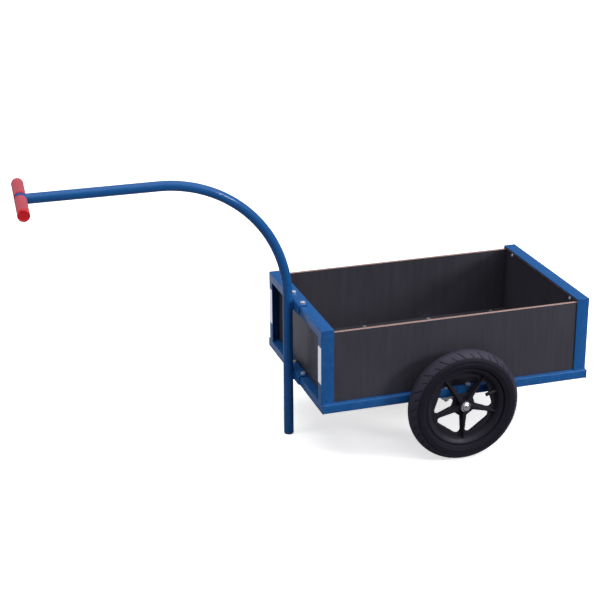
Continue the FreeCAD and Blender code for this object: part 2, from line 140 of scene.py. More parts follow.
# ---- mesh helpers ----
class Shape:
    """Points and faces of one piece, gathered part by part."""

    def __init__(self):
        self.points = []
        self.faces = []
        self.finishes = []
        self.values = []

    def add(self, part, finish=0, values=None):
        points, faces = part
        first = len(self.points)
        self.points += [Vector(point) for point in points]
        self.faces += [[first + i for i in face] for face in faces]
        self.finishes += list(finish) if isinstance(finish, (list, tuple)) else [finish] * len(faces)
        self.values += list(values) if values is not None else [0.0] * len(points)
        return self

    def mirrored(self, axis, middle=0.0):
        """The same shape on the other side of a plane across axis 0 or 1."""
        copy = Shape()
        copy.faces = [list(reversed(face)) for face in self.faces]
        copy.finishes = list(self.finishes)
        copy.values = list(self.values)
        for point in self.points:
            flipped = point.copy()
            flipped[axis] = 2 * middle - point[axis]
            copy.points.append(flipped)
        return copy

    def join(self, other):
        return self.add((other.points, other.faces), other.finishes, other.values)


def to_mesh(name, shape, finishes, sharp=32.0):
    mesh = bpy.data.meshes.new(name)
    mesh.from_pydata([point * MM for point in shape.points], [], shape.faces)
    for finish in finishes:
        mesh.materials.append(finish)
    mesh.polygons.foreach_set("material_index", shape.finishes)
    attribute = mesh.attributes.new("across", "FLOAT", "POINT")
    attribute.data.foreach_set("value", shape.values)
    work = bmesh.new()
    work.from_mesh(mesh)
    bmesh.ops.recalc_face_normals(work, faces=work.faces)
    work.to_mesh(mesh)
    work.free()
    mesh.shade_smooth()
    mesh.set_sharp_from_angle(angle=radians(sharp))
    return mesh


def put_in_scene(name, data):
    made = bpy.data.objects.new(name, data)
    bpy.context.scene.collection.objects.link(made)
    return made


def add_piece(name, mesh, body="cart", nodes=()):
    """Puts a finished mesh in the scene as a piece that rides on a body and stands for CAD nodes."""
    piece = put_in_scene(name, mesh)
    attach(piece, body)
    if nodes:
        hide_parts(*nodes)


def skin(loops, caps=True, wrap=False):
    """Quads between rings of the same number of points. Wrap joins the last ring to the first."""
    count = len(loops[0])
    points = [point for loop in loops for point in loop]
    pairs = [(i, i + 1) for i in range(len(loops) - 1)]
    if wrap:
        pairs.append((len(loops) - 1, 0))
    faces = []
    for a, b in pairs:
        for i in range(count):
            j = (i + 1) % count
            faces.append([a * count + i, a * count + j, b * count + j, b * count + i])
    if caps and not wrap:
        faces.append(list(range(count - 1, -1, -1)))
        faces.append([(len(loops) - 1) * count + i for i in range(count)])
    return points, faces


def rounded(outline, steps=4):
    """Outline of (u, v, radius) corners with each corner turned into an arc."""
    result = []
    for i, (u, v, radius) in enumerate(outline):
        here = Vector((u, v))
        before = (Vector(outline[i - 1][:2]) - here).normalized()
        after = (Vector(outline[(i + 1) % len(outline)][:2]) - here).normalized()
        half = before.angle(after) / 2
        centre = here + (before + after).normalized() * (radius / sin(half))
        first = here + before * (radius / tan(half)) - centre
        last = here + after * (radius / tan(half)) - centre
        start = atan2(first.y, first.x)
        sweep = remainder(atan2(last.y, last.x) - start, 2 * pi)
        for step in range(steps + 1):
            turn = start + sweep * step / steps
            result.append(centre + radius * Vector((cos(turn), sin(turn))))
    return result


def inset(outline, distance):
    """The outline moved inwards by a distance."""
    points = np.array([tuple(point) for point in outline])
    ahead = np.roll(points, -1, axis=0) - points
    ahead /= np.linalg.norm(ahead, axis=1)[:, None]
    behind = np.roll(ahead, 1, axis=0)
    area = np.sum(points[:, 0] * np.roll(points[:, 1], -1) - points[:, 1] * np.roll(points[:, 0], -1))
    inward = np.stack([-ahead[:, 1], ahead[:, 0]], 1) * np.sign(area)
    inward_before = np.stack([-behind[:, 1], behind[:, 0]], 1) * np.sign(area)
    bisector = (inward + inward_before) / (1 + np.sum(inward * inward_before, axis=1))[:, None]
    return [Vector(point) for point in points + bisector * distance]


def lift(axis, u, v, w):
    """Point of an outline that is drawn across an axis, at w along it."""
    return {"x": Vector((w, u, v)), "y": Vector((u, w, v)), "z": Vector((u, v, w))}[axis]


def bar(outline, axis, start, end, ease=(0.4, 0.4)):
    """Outline extruded along an axis, with its end edges eased by a small chamfer."""
    places = [(start, ease[0]), (start + ease[0], 0.0), (end - ease[1], 0.0), (end, ease[1])]
    if ease[0] == 0:
        places.pop(0)
    if ease[1] == 0:
        places.pop()
    return skin([[lift(axis, *point, w) for point in inset(outline, e)] for w, e in places])


def rectangle(u0, u1, v0, v1, radius):
    return rounded([(u0, v0, radius), (u1, v0, radius), (u1, v1, radius), (u0, v1, radius)])


def across_axes(direction):
    """Two unit vectors square to a direction."""
    forward = Vector(direction).normalized()
    reference = Vector((0, 0, 1)) if abs(forward.z) < 0.9 else Vector((1, 0, 0))
    first = forward.cross(reference).normalized()
    return forward, first, forward.cross(first)


def even_turns(count):
    return [2 * pi * i / count for i in range(count)]


def ring(origin, direction, radii, heights, count):
    """Points evenly round an axis. Radii and heights are a number, or a list with one for each point."""
    forward, first, second = across_axes(direction)
    radii = radii if isinstance(radii, list) else [radii] * count
    heights = heights if isinstance(heights, list) else [heights] * count
    return [Vector(origin) + forward * height + radius * (cos(t) * first + sin(t) * second)
            for t, radius, height in zip(even_turns(count), radii, heights)]


def spin(profile, origin, direction, count=round_points, closed=False):
    """Turns a line of (radius, along) points about an axis. A closed line makes a ring."""
    loops = [ring(origin, direction, radius, along, count) for radius, along in profile]
    return skin(loops, caps=not closed, wrap=closed)


def heading(path, i):
    """Direction of a path of points at one of them."""
    return (path[min(i + 1, len(path) - 1)] - path[max(i - 1, 0)]).normalized()


def sweep(path, radius_at, count):
    """Round section carried along a path of points, its radius given for each point's number."""
    path = [Vector(point) for point in path]
    loops = []
    normal = None
    for i, here in enumerate(path):
        ahead = heading(path, i)
        if normal is None:
            normal = across_axes(ahead)[1]
        normal = (normal - ahead * normal.dot(ahead)).normalized()
        other = ahead.cross(normal)
        loops.append([here + radius_at(i) * (cos(t) * normal + sin(t) * other)
                      for t in even_turns(count)])
    return skin(loops)


def weld_bead(path, radius):
    """Bead of overlapping ripples along a path, tapered where the arc started and stopped."""
    step, taper, ripple_length, ripple_share, end_share = 0.6, 2.5, 2.6, 0.14, 0.35
    lengths = [0.0]
    for a, b in zip(path, path[1:]):
        lengths.append(lengths[-1] + (Vector(b) - Vector(a)).length)
    whole = lengths[-1]
    count = max(int(whole / step), 4)
    even = []
    for k in range(count + 1):
        along = whole * k / count
        i = min(int(np.searchsorted(lengths, along, side="right")) - 1, len(path) - 2)
        share = (along - lengths[i]) / (lengths[i + 1] - lengths[i])
        even.append(Vector(path[i]).lerp(Vector(path[i + 1]), share))

    def radius_at(k):
        end = min(k, count - k) / max(taper / (whole / count), 1)
        ripple = 1 + ripple_share * sin(2 * pi * k / count * whole / ripple_length)
        return radius * ripple * min(1.0, end_share + (1 - end_share) * end)

    return sweep(even, radius_at, 10)


def hex_reach(across_flats, turn):
    """Distance from the centre of a hexagon to its side at a turn."""
    within = fmod(turn, pi / 3) - pi / 6
    return across_flats / 2 / cos(within)


def hex_radii(across_flats, count):
    return [hex_reach(across_flats, turn) for turn in even_turns(count)]


def hex_loops(across_flats, height, origin, direction, both_ends):
    """Rings of a hexagonal body whose corners are turned off at its top, or at both ends."""
    flat = across_flats / 2 * 0.94
    reach = hex_radii(across_flats, round_points)
    drop = [(r - flat) * tan(radians(30)) for r in reach]
    rings = [(flat, 0.0), (reach, drop)] if both_ends else [(reach, 0.0)]
    rings += [(reach, [height - d for d in drop]), (flat, height)]
    return [ring(origin, direction, radii, heights, round_points) for radii, heights in rings]


def hex_head(across_flats, height, origin, direction):
    return skin(hex_loops(across_flats, height, origin, direction, False))


def hex_nut(across_flats, height, bore, origin, direction):
    loops = hex_loops(across_flats, height, origin, direction, True)
    ends = [ring(origin, direction, bore, along, round_points) for along in (height, 0)]
    return skin(loops + ends, wrap=True)


def threaded_rod(radius, origin, direction, plain, length, pitch):
    """Rod that is plain near its head and has ridges to its end."""
    profile = [(radius, 0.0), (radius, plain)]
    along = plain
    while along + pitch < length - 0.6:
        profile += [(radius * 0.86, along + pitch * 0.4), (radius * 0.99, along + pitch * 0.9)]
        along += pitch
    profile += [(radius * 0.9, length - 0.5), (radius * 0.75, length)]
    return spin(profile, origin, direction, 32)


# ---- materials ----
def new_material(name):
    material = bpy.data.materials.new(name)
    material.use_nodes = True
    shader = material.node_tree.nodes["Principled BSDF"]
    return material, material.node_tree, shader


def node(tree, kind, inputs=None, **settings):
    made = tree.nodes.new(kind)
    for key, value in settings.items():
        setattr(made, key, value)
    for key, value in (inputs or {}).items():
        if isinstance(value, bpy.types.NodeSocket):
            tree.links.new(value, made.inputs[key])
        else:
            made.inputs[key].default_value = value
    return made


def object_point(tree, scale=(1.0, 1.0, 1.0), offset=(0.0, 0.0, 0.0)):
    coordinates = node(tree, "ShaderNodeTexCoord")
    mapping = node(tree, "ShaderNodeMapping", {"Vector": coordinates.outputs["Object"], "Scale": scale,
                                               "Location": offset})
    return mapping.outputs["Vector"]


def noise(tree, scale, detail=4.0, roughness=0.55, point=None):
    point = point or object_point(tree)
    inputs = {"Vector": point, "Scale": scale, "Detail": detail, "Roughness": roughness}
    return node(tree, "ShaderNodeTexNoise", inputs).outputs["Fac"]


def remap(tree, value, low, high, to_low=0.0, to_high=1.0):
    inputs = {"Value": value, "From Min": low, "From Max": high, "To Min": to_low, "To Max": to_high}
    return node(tree, "ShaderNodeMapRange", inputs).outputs["Result"]


def mix_colour(tree, share, first, second):
    made = node(tree, "ShaderNodeMix", data_type="RGBA")
    for socket, value in ((made.inputs[0], share), (made.inputs[6], first), (made.inputs[7], second)):
        if isinstance(value, bpy.types.NodeSocket):
            tree.links.new(value, socket)
        elif isinstance(value, (int, float)):
            socket.default_value = value
        else:
            socket.default_value = (*value, 1.0)
    return made.outputs[2]


def calculate(tree, operation, first, second=0.0):
    made = node(tree, "ShaderNodeMath", operation=operation)
    for socket, value in zip(made.inputs, (first, second)):
        if isinstance(value, bpy.types.NodeSocket):
            tree.links.new(value, socket)
        else:
            socket.default_value = value
    return made.outputs[0]


def bump(tree, shader, height, strength, distance):
    made = node(tree, "ShaderNodeBump", {"Height": height, "Strength": strength, "Distance": distance})
    tree.links.new(made.outputs["Normal"], shader.inputs["Normal"])


def link(tree, value, shader, socket):
    tree.links.new(value, shader.inputs[socket])


def set_inputs(shader, values):
    """Constant numbers, each on the shader's own socket."""
    for socket, value in values.items():
        shader.inputs[socket].default_value = value


def cloudy_roughness(tree, shader, scale, detail, low, high):
    link(tree, remap(tree, noise(tree, scale, detail), 0.3, 0.7, low, high), shader, "Roughness")


def blue_paint():
    """Powder coat: orange peel, faint dust on it, a little paler along sharp convex edges."""
    material, tree, shader = new_material("blue_powder_coat")
    tone = mix_colour(tree, noise(tree, 14.0, 3.0), (0.008, 0.086, 0.285), (0.013, 0.112, 0.345))
    dust = remap(tree, noise(tree, 170.0, 6.0, 0.7), 0.60, 0.85, 0.0, 0.16)
    tone = mix_colour(tree, dust, tone, (0.20, 0.26, 0.36))
    # Paler blue along sharp convex edges: Pointiness picks the edges, and noise makes the paling patchy.
    pointed = node(tree, "ShaderNodeNewGeometry").outputs["Pointiness"]
    edge_patchiness = remap(tree, noise(tree, 90.0), 0.45, 0.75)
    paler_edge_mask = calculate(tree, "MULTIPLY", remap(tree, pointed, 0.54, 0.62), edge_patchiness)
    tone = mix_colour(tree, calculate(tree, "MULTIPLY", paler_edge_mask, 0.35), tone, (0.10, 0.22, 0.46))
    link(tree, tone, shader, "Base Color")
    cloudy_roughness(tree, shader, 40.0, 5.0, 0.30, 0.42)
    set_inputs(shader, {"Specular IOR Level": 0.12, "Coat Weight": 0.22, "Coat Roughness": 0.07})
    bump(tree, shader, noise(tree, 620.0, 2.0), 0.10, 0.0006)
    return material


def film_panel():
    """Phenolic film on plywood: nearly black, with the veneer's grain just showing through."""
    material, tree, shader = new_material("film_faced_panel")
    grain = noise(tree, 1.0, 5.0, 0.6, object_point(tree, (90.0, 90.0, 7.0)))
    cloud = noise(tree, 5.0, 3.0)
    tone = mix_colour(tree, remap(tree, grain, 0.3, 0.7), (0.038, 0.037, 0.047), (0.051, 0.049, 0.062))
    tone = mix_colour(tree, remap(tree, cloud, 0.35, 0.7, 0.0, 0.45), tone, (0.064, 0.060, 0.073))
    speck = remap(tree, noise(tree, 900.0, 2.0), 0.68, 0.78, 0.0, 0.35)
    tone = mix_colour(tree, speck, tone, (0.085, 0.075, 0.07))
    link(tree, tone, shader, "Base Color")
    link(tree, remap(tree, grain, 0.25, 0.75, 0.34, 0.50), shader, "Roughness")
    set_inputs(shader, {"Specular IOR Level": 0.45, "Specular Tint": (0.90, 0.86, 1.0, 1.0)})
    bump(tree, shader, calculate(tree, "ADD", grain, noise(tree, 500.0, 2.0)), 0.12, 0.0004)
    return material


def ply_edge():
    """Bare edge of the plywood: thin veneers, light and dark by turns, stained reddish brown."""
    material, tree, shader = new_material("plywood_edge")
    across = node(tree, "ShaderNodeAttribute", attribute_name="across").outputs["Fac"]
    ragged = remap(tree, noise(tree, 300.0, 3.0), 0.0, 1.0, -0.03, 0.03)
    layers = calculate(tree, "MULTIPLY", calculate(tree, "ADD", across, ragged), 3.5)
    stripe = remap(tree, calculate(tree, "FRACT", layers), 0.42, 0.58)
    fibre = noise(tree, 1.0, 6.0, 0.7, object_point(tree, (160.0, 160.0, 1300.0)))
    light = mix_colour(tree, fibre, (0.42, 0.27, 0.235), (0.56, 0.41, 0.37))
    dark = mix_colour(tree, fibre, (0.17, 0.085, 0.068), (0.28, 0.155, 0.13))
    link(tree, mix_colour(tree, stripe, light, dark), shader, "Base Color")
    set_inputs(shader, {"Roughness": 0.72})
    bump(tree, shader, calculate(tree, "ADD", fibre, stripe), 0.35, 0.0003)
    return material


def radius_from_axle(tree):
    """Distance of a point from the axle, in metres."""
    split = node(tree, "ShaderNodeSeparateXYZ", {"Vector": object_point(
        tree, offset=(-axle_x * MM, 0.0, -axle_z * MM))})
    across = calculate(tree, "POWER", split.outputs["X"], 2.0)
    up = calculate(tree, "POWER", split.outputs["Z"], 2.0)
    return calculate(tree, "SQRT", calculate(tree, "ADD", across, up))


def tyre_rubber():
    """Black rubber, with a lighter, dusty tread band whose grooves stay dark."""
    material, tree, shader = new_material("tyre_rubber")
    rubber = mix_colour(tree, noise(tree, 60.0, 5.0), (0.006, 0.0056, 0.010), (0.012, 0.011, 0.018))
    dusty = mix_colour(tree, noise(tree, 25.0, 6.0, 0.65), (0.022, 0.020, 0.032), (0.046, 0.042, 0.063))
    dust_from, dust_full = 0.1385, 0.1425
    tread = remap(tree, radius_from_axle(tree), dust_from, dust_full)
    # The grooves keep the dark rubber colour, with no dust mixed into them.
    groove = node(tree, "ShaderNodeAttribute", attribute_name="across").outputs["Fac"]
    open_tread = calculate(tree, "MULTIPLY", tread, calculate(tree, "SUBTRACT", 1.0, groove))
    link(tree, mix_colour(tree, open_tread, rubber, dusty), shader, "Base Color")
    cloudy_roughness(tree, shader, 35.0, 4.0, 0.52, 0.68)
    set_inputs(shader, {"Specular IOR Level": 0.27, "Specular Tint": (0.86, 0.83, 1.0, 1.0)})
    bump(tree, shader, noise(tree, 1500.0, 3.0, 0.7), 0.22, 0.0003)
    return material


def moulded_plastic(name, dark, light):
    """Moulded black plastic with a fine spark-eroded grain and faint flow marks."""
    material, tree, shader = new_material(name)
    flow = noise(tree, 1.0, 4.0, 0.6, object_point(tree, (30.0, 80.0, 30.0)))
    link(tree, mix_colour(tree, flow, dark, light), shader, "Base Color")
    cloudy_roughness(tree, shader, 120.0, 4.0, 0.38, 0.52)
    set_inputs(shader, {"Specular IOR Level": 0.22, "Specular Tint": (0.88, 0.86, 1.0, 1.0)})
    bump(tree, shader, noise(tree, 1800.0, 2.0), 0.18, 0.0002)
    return material


def soft_rubber():
    material, tree, shader = new_material("inner_tube_rubber")
    tone = mix_colour(tree, noise(tree, 50.0, 5.0), (0.012, 0.012, 0.013), (0.03, 0.03, 0.032))
    link(tree, tone, shader, "Base Color")
    cloudy_roughness(tree, shader, 90.0, 4.0, 0.45, 0.65)
    bump(tree, shader, noise(tree, 700.0, 3.0), 0.15, 0.0003)
    return material


def plated_steel(name, tint, second_tint, rough, grain):
    """Metal plate or ground metal: cloudy tints and a fine directional grain."""
    material, tree, shader = new_material(name)
    cloud = noise(tree, 55.0, 5.0, 0.6)
    link(tree, mix_colour(tree, remap(tree, cloud, 0.35, 0.68), tint, second_tint), shader, "Base Color")
    set_inputs(shader, {"Metallic": 1.0})
    lines = noise(tree, 1.0, 3.0, 0.7, object_point(tree, grain))
    link(tree, remap(tree, lines, 0.25, 0.75, *rough), shader, "Roughness")
    bump(tree, shader, lines, 0.10, 0.0002)
    return material


def grip_plastic(name, ribbed):
    """Soft red plastic. The ribbed sleeve is dull, with a pale pink painted sheen that stands for light
    glancing off its fine ribs, and the moulded end is glossy.
    """
    material, tree, shader = new_material(name)
    deep, bright = (0.66, 0.008, 0.016), (0.80, 0.012, 0.022)
    if ribbed:
        deep, bright = (0.46, 0.012, 0.026), (0.55, 0.020, 0.040)
    tone = mix_colour(tree, noise(tree, 70.0, 4.0), deep, bright)
    if ribbed:
        # Painted sheen: pale pink mottling on the ribbed sleeve stands for light glancing off its fine ribs.
        painted_rib_sheen = remap(tree, noise(tree, 260.0, 5.0, 0.65), 0.25, 0.75, 0.12, 0.32)
        tone = mix_colour(tree, painted_rib_sheen, tone, (0.58, 0.32, 0.38))
    link(tree, tone, shader, "Base Color")
    rough = (0.42, 0.55) if ribbed else (0.12, 0.20)
    cloudy_roughness(tree, shader, 150.0, 3.0, *rough)
    bump(tree, shader, noise(tree, 1100.0, 2.0), 0.10 if ribbed else 0.03, 0.0002)
    return material


def reflective_film():
    """White film with a fine grid of sealed cells. A faint emission is painted light: a glow that stands for
    the light the film throws back.
    """
    material, tree, shader = new_material("reflective_film")
    split = node(tree, "ShaderNodeSeparateXYZ", {"Vector": object_point(tree)})
    cell = 2 * pi / 0.0028
    along = calculate(tree, "ADD", split.outputs["Y"], split.outputs["Z"])
    against = calculate(tree, "SUBTRACT", split.outputs["Y"], split.outputs["Z"])
    waves = [calculate(tree, "ABSOLUTE", calculate(tree, "SINE", calculate(tree, "MULTIPLY", v, cell / 2)))
             for v in (along, against)]
    seam = remap(tree, calculate(tree, "MINIMUM", *waves), 0.0, 0.28)
    tone = mix_colour(tree, noise(tree, 90.0, 3.0), (0.80, 0.81, 0.87), (0.88, 0.89, 0.93))
    link(tree, mix_colour(tree, seam, (0.66, 0.67, 0.73), tone), shader, "Base Color")
    link(tree, remap(tree, seam, 0.0, 1.0, 0.45, 0.22), shader, "Roughness")
    # Painted light: the faint white emission stands for the film's retroreflection.
    set_inputs(shader, {"Coat Weight": 0.4, "Coat Roughness": 0.12,
                        "Emission Color": (0.93, 0.94, 1.0, 1.0), "Emission Strength": 0.25})
    bump(tree, shader, seam, 0.15, 0.0002)
    return material


def nylon():
    material, tree, shader = new_material("natural_nylon")
    tone = mix_colour(tree, noise(tree, 80.0, 4.0), (0.70, 0.68, 0.60), (0.82, 0.80, 0.73))
    link(tree, tone, shader, "Base Color")
    cloudy_roughness(tree, shader, 200.0, 4.0, 0.40, 0.55)
    set_inputs(shader, {"Subsurface Weight": 0.1})
    bump(tree, shader, noise(tree, 900.0, 2.0), 0.1, 0.0002)
    return material


paint = blue_paint()
film = film_panel()
edge = ply_edge()
rubber = tyre_rubber()
rim_black = moulded_plastic("rim_plastic", (0.012, 0.0118, 0.017), (0.024, 0.023, 0.031))
plug_black = moulded_plastic("plug_plastic", (0.010, 0.010, 0.011), (0.02, 0.02, 0.021))
tube_black = soft_rubber()
zinc = plated_steel("zinc_plate", (0.80, 0.82, 0.87), (0.90, 0.91, 0.93), (0.46, 0.60),
                    grain=(700.0, 700.0, 90.0))
bearing = plated_steel("ground_steel", (0.60, 0.60, 0.62), (0.70, 0.70, 0.71), (0.14, 0.26),
                       grain=(60.0, 900.0, 60.0))
chrome = plated_steel("chrome_plate", (0.80, 0.81, 0.83), (0.88, 0.88, 0.89), (0.14, 0.22),
                      grain=(90.0, 90.0, 90.0))
nylon_white = nylon()
grip_ribs = grip_plastic("grip_ribbed", True)
grip_end = grip_plastic("grip_end", False)
reflective = reflective_film()


# ---- pieces that stand for CAD nodes ----
def add_shape(prefix, title, shape, finishes, slot, body="cart", sharp=32.0):
    """Piece that stands for the CAD node whose name ends its own."""
    add_piece(prefix + title, to_mesh(title, shape, finishes, sharp), body, [title])


def add_pair(prefix, title, shape, finishes, slot, ends=("left", "right")):
    """Shape and its mirror image: across the cart's middle for front and rear, or across Y = 0."""
    other = shape.mirrored(1) if "left" in ends else shape.mirrored(0, axle_x)
    for end, part in zip(ends, (shape, other)):
        add_shape(prefix, f"{title}_{end}", part, finishes, slot)


# ---- box frame ----
def at_four_corners(front_left):
    whole = Shape()
    for shape in (front_left, front_left.mirrored(1)):
        whole.join(shape)
        whole.join(shape.mirrored(0, axle_x))
    return whole


def top_rail():
    outline = rounded([
        (front, rail_drop_z, 0.6), (front + wall, rail_drop_z, 1.3), (front + wall, rail_under, 2.6),
        (front + flange, rail_under, 1.3), (front + flange, top, 0.7), (front, top, 1.4),
    ])
    return Shape().add(bar(outline, "y", -side, side))


def cross_rail():
    face = rounded([(front, under, 1.4), (front + wall, under, 0.6), (front + wall, ledge, 0.3),
                    (front, ledge, 1.4)])
    shelf = rectangle(front + wall, front + flange, ledge - wall, ledge, 0.5)
    shape = Shape().add(bar(face, "y", -base_side, base_side))
    return shape.add(bar(shelf, "y", -base_side + base_flange, base_side - base_flange))


def side_rail():
    y0 = -base_side
    y1 = y0 + base_flange
    outline = rounded([
        (y0, under, 3.4), (y1, under, 0.6), (y1, under + wall, 0.6), (y0 + wall, under + wall, 1.2),
        (y0 + wall, ledge - wall, 1.2), (y1, ledge - wall, 0.6), (y1, ledge, 0.6), (y0, ledge, 3.4),
    ])
    return Shape().add(bar(outline, "x", front + wall, rear - wall))


def corner_post():
    y0 = -side
    both = rounded([
        (front, y0, 1.4), (front + flange, y0, 0.7), (front + flange, y0 + wall, 1.3),
        (front + wall, y0 + wall, 2.6), (front + wall, y0 + post_front, 1.3), (front, y0 + post_front, 0.7),
    ])
    upper = rounded([(front + wall, y0, 0.1), (front + flange, y0, 0.7), (front + flange, y0 + wall, 1.3),
                     (front + wall, y0 + wall, 0.1)])
    shape = Shape().add(bar(both, "z", ledge, rail_drop_z, (0.4, 0.0)))
    return shape.add(bar(upper, "z", rail_drop_z, rail_under, (0.0, 0.4)))


def reflector():
    outline = rectangle(strip_low.y, strip_high.y, strip_low.z, strip_high.z, 2.0)
    return Shape().add(bar(outline, "x", strip_low.x, strip_high.x, (0.2, 0.0)))


def frame_welds():
    """Beads at each post's foot and under its top rail, and where the bottom rails meet."""
    shape = Shape()
    y0 = -side
    foot = [(front + 3.5, y0 - 0.9, ledge + 0.6), (front + flange - 3.0, y0 - 0.9, ledge + 0.6)]
    seam = [(front + wall, -base_side + 0.8, under + 4.0), (front + wall, -base_side + 0.8, ledge - 4.0)]
    inside = [(front + 5.0, y0 + wall, rail_under), (front + flange - 2.0, y0 + wall, rail_under)]
    for path, radius in ((foot, 1.7), (seam, 1.3), (inside, 1.6)):
        shape.add(weld_bead(path, radius))
    return at_four_corners(shape)


def add_frame():
    post = corner_post()
    steel = ([paint], "blue_paint")
    add_pair("steel_", "top_rail", top_rail(), *steel, ("front", "rear"))
    add_pair("steel_", "bottom_cross_rail", cross_rail(), *steel, ("front", "rear"))
    add_pair("shaped_", "bottom_side_rail", side_rail(), *steel)
    add_pair("shaped_", "corner_post_front", post, *steel)
    add_pair("shaped_", "corner_post_rear", post.mirrored(0, axle_x), *steel)
    add_pair("shaped_", "reflector_strip", reflector(), [reflective], "reflector")
    add_piece("frame_welds", to_mesh("frame_welds", frame_welds(), [paint], 60))


# ---- boards ----
def slab(outline, axis, start, end, ease=0.3):
    """Board whose wide faces are filmed (finish 0) and whose narrow faces are bare edges (finish 1)."""
    points, faces = bar(outline, axis, start, end, (ease, ease))
    narrow = len(faces) - 2
    count = len(outline)
    share = ease / (end - start)
    values = [v for v in (0.0, share, 1 - share, 1.0) for _ in range(count)]
    return Shape().add((points, faces), [1] * narrow + [0, 0], values)


def add_boards():
    wide = rectangle(side_board_low.x, side_board_high.x, side_board_low.z, side_board_high.z, 0.8)
    across = rectangle(board_low.y, board_high.y, board_low.z, board_high.z, 0.8)
    lying = rectangle(floor_low.x, floor_high.x, floor_low.y, floor_high.y, 0.4)
    ply = ([film, edge], "panel")
    add_pair("ply_", "side_board", slab(wide, "y", side_board_low.y, side_board_high.y), *ply)
    add_pair("ply_", "end_board", slab(across, "x", board_low.x, board_high.x), *ply, ("front", "rear"))
    add_shape("ply_", "floor_board", slab(lying, "z", floor_low.z, floor_high.z), *ply)


# ---- fasteners ----
def socket_head(radius, height, origin, direction, socket, depth):
    """Round head with a hexagonal socket."""
    profile = [(radius, 0.0), (radius * 0.99, height * 0.25), (radius * 0.88, height * 0.62),
               (radius * 0.70, height * 0.88), (radius * 0.5, height)]
    profile += [(hex_radii(socket, round_points), along) for along in (height, height - depth)]
    return spin(profile, origin, direction)


def board_screws():
    """Round-headed screws from inside the box, near the top corners of both end boards."""
    seat = (board_high.x, -screw_y, screw_z)
    stack = board + lug_plate
    head = socket_head(radius=5.6, height=3.3, origin=seat, direction=(1, 0, 0), socket=4.0, depth=1.9)
    shank = threaded_rod(screw_radius, seat, (-1, 0, 0), plain=stack - 1.0, length=stack + 6.0, pitch=1.0)
    return at_four_corners(Shape().add(head).add(shank))


def board_nuts():
    seat = (board_low.x - lug_plate, -screw_y, screw_z)
    nut = hex_nut(across_flats=10.0, height=5.0, bore=screw_radius, origin=seat, direction=(-1, 0, 0))
    return at_four_corners(Shape().add(nut))


def floor_screws():
    """Countersunk screws, flush with the floor, with a hexagonal recess."""
    shape = Shape()
    count = 36
    socket = hex_radii(3.0, count)
    profile = [(1.6, -20.9), (2.5, -19.0), (2.5, -3.2), (4.9, -0.3), (4.9, 0.06), (4.5, 0.1),
               (socket, 0.1), (socket, -1.8)]
    for step in floor_screw_steps:
        for y in (-floor_screw_y, floor_screw_y):
            shape.add(spin(profile, (axle_x + step, y, floor_high.z), (0, 0, 1), count))
    return shape


def add_bolt(bolts, nuts, seat, stack):
    """Bolt from its seat down through a stack of plates, and the nut under the stack."""
    bolts.add(hex_head(bolt_flats, bolt_head, seat, (0, 0, 1)))
    bolts.add(threaded_rod(bolt_radius, seat, (0, 0, -1), stack - 2.0, stack + 9.0, bolt_pitch))
    nuts.add(hex_nut(bolt_flats, bolt_nut, bolt_radius, seat - Vector((0, 0, stack)), (0, 0, -1)))


def washer(origin):
    bore, rim_radius, ease = 4.2, 8.0, 0.3
    profile = [(bore, 0.0), (rim_radius - ease, 0.0), (rim_radius, ease), (rim_radius, washer_plate - ease),
               (rim_radius - ease, washer_plate), (bore, washer_plate)]
    return spin(profile, origin, (0, 0, -1), 40, closed=True)


def bracket_bolts():
    bolts, washers, nuts = Shape(), Shape(), Shape()
    for z in (top, ledge):
        for y in (-bracket_bolt_y, bracket_bolt_y):
            seat = Vector((bracket_bolt_x, y, z + bracket_plate))
            add_bolt(bolts, nuts, seat, bracket_plate + wall + washer_plate)
            washers.add(washer((bracket_bolt_x, y, z - wall)))
    return bolts, washers, nuts


def saddle_fasteners():
    """Bolts from the ledge down through the side rails and the saddles' ears, and their nuts below."""
    bolts, nuts = Shape(), Shape()
    for x in (axle_x - saddle_bolt_step, axle_x + saddle_bolt_step):
        for y in (-saddle_bolt_y, saddle_bolt_y):
            add_bolt(bolts, nuts, Vector((x, y, ledge)), ledge - under + saddle_plate)
    return bolts, nuts


def add_fasteners():
    bolts, washers, nuts = bracket_bolts()
    saddle_bolts, saddle_nuts = saddle_fasteners()
    groups = [("drawbar_bolts", bolts), ("drawbar_washers", washers), ("drawbar_nuts", nuts),
              ("axle_saddle_bolts", saddle_bolts), ("axle_saddle_nuts", saddle_nuts),
              ("end_board_screws", board_screws()), ("end_board_nuts", board_nuts()),
              ("floor_screws", floor_screws())]
    for name, shape in groups:
        add_shape("turned_", name, shape, [zinc], "zinc_steel", sharp=28.0)


# ---- drawbar ----
def drawbar_path(steps):
    """Centreline from the foot to the bend, round it, and along the level run."""
    start_z = tube_low.z
    bend_z = level_z - bend_radius
    bend_x = tube_x - bend_radius
    path = [Vector((tube_x, 0, start_z)), Vector((tube_x, 0, (start_z + bend_z) / 2))]
    for i in range(steps + 1):
        turn = pi / 2 * i / steps
        path.append(Vector((bend_x + bend_radius * cos(turn), 0,
                            bend_z + bend_radius * sin(turn))))
    path.append(Vector(((bend_x + crossbar_x) / 2, 0, level_z)))
    return path


def cope_point(radius, turn):
    """Where the drawbar's wall meets the crossbar, at a turn round the drawbar from the top."""
    reach = sqrt(max(tube_radius**2 - (radius * cos(turn)) ** 2, 0.0))
    x = crossbar_x + (reach + radius * sin(turn) * sin(handle_yaw)) / cos(handle_yaw)
    return Vector((x, radius * sin(turn), level_z + radius * cos(turn)))


